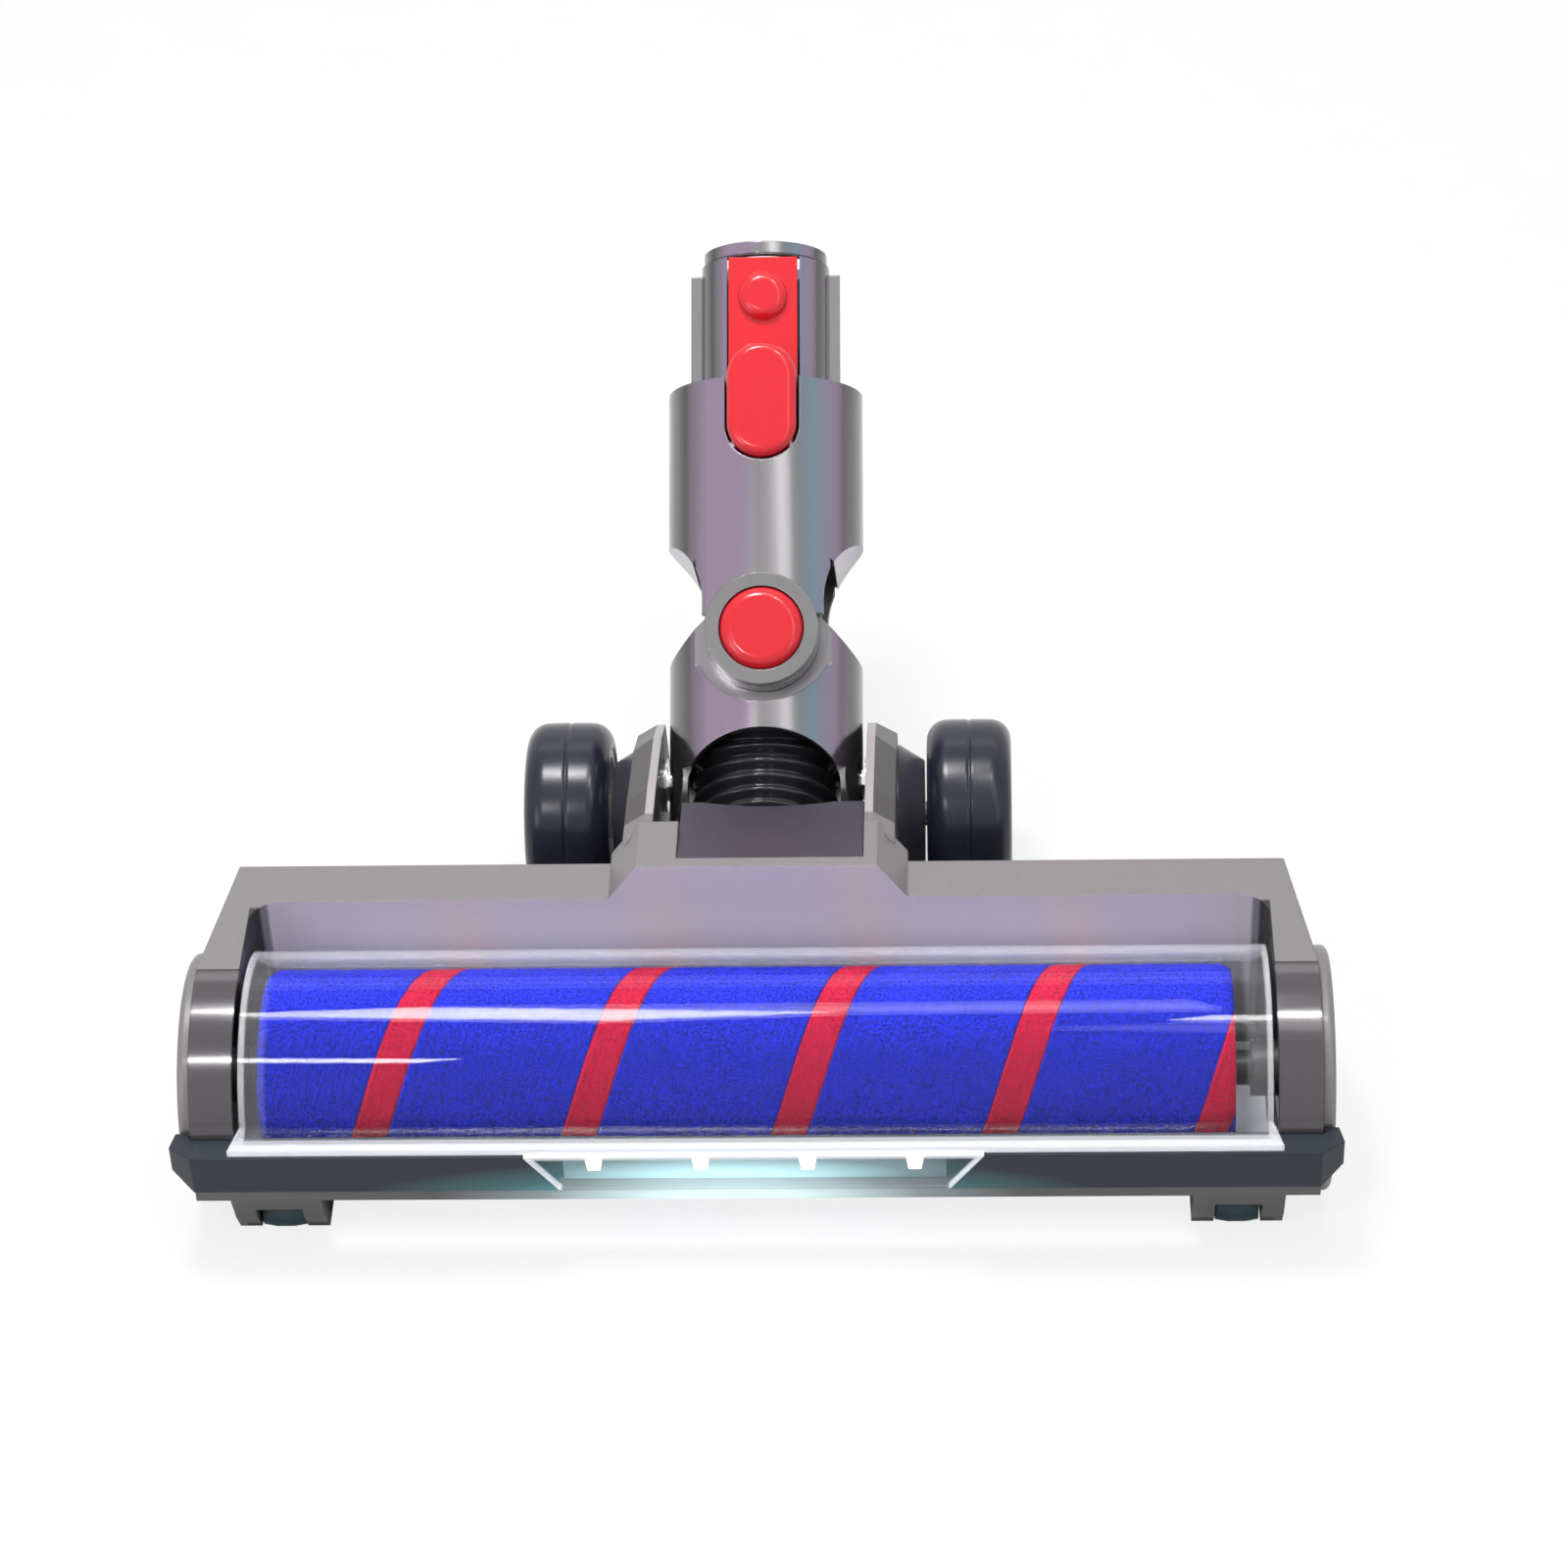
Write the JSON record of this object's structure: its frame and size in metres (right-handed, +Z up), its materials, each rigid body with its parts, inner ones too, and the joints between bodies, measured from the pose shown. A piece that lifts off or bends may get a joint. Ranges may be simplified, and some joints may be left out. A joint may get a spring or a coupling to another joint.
{
  "type": "vacuum cleaner floor head with soft roller",
  "caption": "Powered vacuum floor head: soft blue roller with a red spiral stripe under a clear cover, lamp bumper, wheels and a pitching, swivelling neck with a press latch.",
  "frame": {"origin": "middle of the footprint, on the floor", "axes": "+X along the roller to the right, +Y towards the rear, +Z up from the floor"},
  "size_m": [0.2632, 0.2256, 0.1388],
  "materials": {
    "body_grey": "satin metallic",
    "neck_grey": "gloss metallic",
    "dark_grey": "satin",
    "slate": "satin",
    "clear": "clear gloss",
    "lamp_white": "lit",
    "board": "matte",
    "pile_blue": "soft pile",
    "band_red": "soft pile",
    "black_plastic": "matte",
    "red_plastic": "gloss",
    "hose_rubber": "gloss",
    "tyre_rubber": "satin",
    "hub_white": "satin",
    "steel": "brushed",
    "bright_steel": "bright",
    "contact_metal": "bright"
  },
  "bodies": {
    "housing": {"upper_housing": "body_grey", "left_cheek": "body_grey", "right_cheek": "body_grey", "base_plate": "body_grey", "base_screws": "steel", "centre_panel": "dark_grey", "front_bumper": "slate", "clear_cover": "clear", "lamp_lens": "clear", "lamp_board": "board", "lamp_chips": "lamp_white", "left_end_plate": "body_grey", "right_end_cap": "body_grey", "left_roller_bearing": "black_plastic", "roller_motor": "steel", "roller_gearbox": "black_plastic", "left_axle": "steel", "right_axle": "steel", "left_axle_fairing": "dark_grey", "right_axle_fairing": "dark_grey", "left_front_pin": "steel", "right_front_pin": "steel", "left_pivot_pin": "bright_steel", "right_pivot_pin": "bright_steel", "hose": "hose_rubber"},
    "roller": {"roller_core": "black_plastic", "roller_pile": "pile_blue", "roller_band": "band_red", "roller_drive_hub": "black_plastic", "roller_bearing_hub": "black_plastic", "drive_dog": "steel"},
    "left_wheel": {"left_tyre": "tyre_rubber", "left_wheel_hub": "hub_white"},
    "right_wheel": {"right_tyre": "tyre_rubber", "right_wheel_hub": "hub_white"},
    "left_small_wheel": {"left_front_wheel": "black_plastic"},
    "right_small_wheel": {"right_front_wheel": "black_plastic"},
    "lock": {"turn_lock": "red_plastic"},
    "knuckle": {"knuckle": "neck_grey", "inner_hose": "hose_rubber"},
    "neck": {"neck_sleeve": "neck_grey", "neck_tube": "neck_grey", "swivel_ring": "neck_grey", "swivel_cap": "red_plastic", "swivel_pins": "steel", "contact_block": "black_plastic", "contact_pins": "contact_metal", "latch_pin": "steel"},
    "latch": {"latch": "red_plastic"}
  },
  "joints": [
    {"name": "roller_spin", "type": "hinge", "parent": "housing", "child": "roller", "pos_m": [0, -0.0775, 0.0243], "axis": [1, 0, 0], "continuous": true},
    {"name": "left_wheel_spin", "type": "hinge", "parent": "housing", "child": "left_wheel", "pos_m": [-0.04875, 0.0147, 0.023], "axis": [1, 0, 0], "continuous": true},
    {"name": "right_wheel_spin", "type": "hinge", "parent": "housing", "child": "right_wheel", "pos_m": [0.04875, 0.0147, 0.023], "axis": [1, 0, 0], "continuous": true},
    {"name": "left_small_wheel_spin", "type": "hinge", "parent": "housing", "child": "left_small_wheel", "pos_m": [-0.1087, -0.1008, 0.0045], "axis": [1, 0, 0], "continuous": true},
    {"name": "right_small_wheel_spin", "type": "hinge", "parent": "housing", "child": "right_small_wheel", "pos_m": [0.1087, -0.1008, 0.0045], "axis": [1, 0, 0], "continuous": true},
    {"name": "lock_turn", "type": "hinge", "parent": "housing", "child": "lock", "pos_m": [0.129, -0.0625, 0.0323], "axis": [1, 0, 0], "range_deg": [0, 90]},
    {"name": "neck_pitch", "type": "hinge", "parent": "housing", "child": "knuckle", "pos_m": [0, 0.0037, 0.042], "axis": [1, 0, 0], "range_deg": [-33, 40], "deforming": ["hose"]},
    {"name": "neck_swivel", "type": "hinge", "parent": "knuckle", "child": "neck", "pos_m": [0, 0.02887, 0.06365], "axis": [0, 0.6521, -0.7581], "range_deg": [-40, 40], "deforming": ["inner_hose"]},
    {"name": "latch_press", "type": "hinge", "parent": "neck", "child": "latch", "pos_m": [0, 0.05081, 0.10837], "axis": [1, 0, 0], "range_deg": [-4, 0], "stiffness_Nm_per_rad": 1, "springref_deg": 1.15}
  ]
}
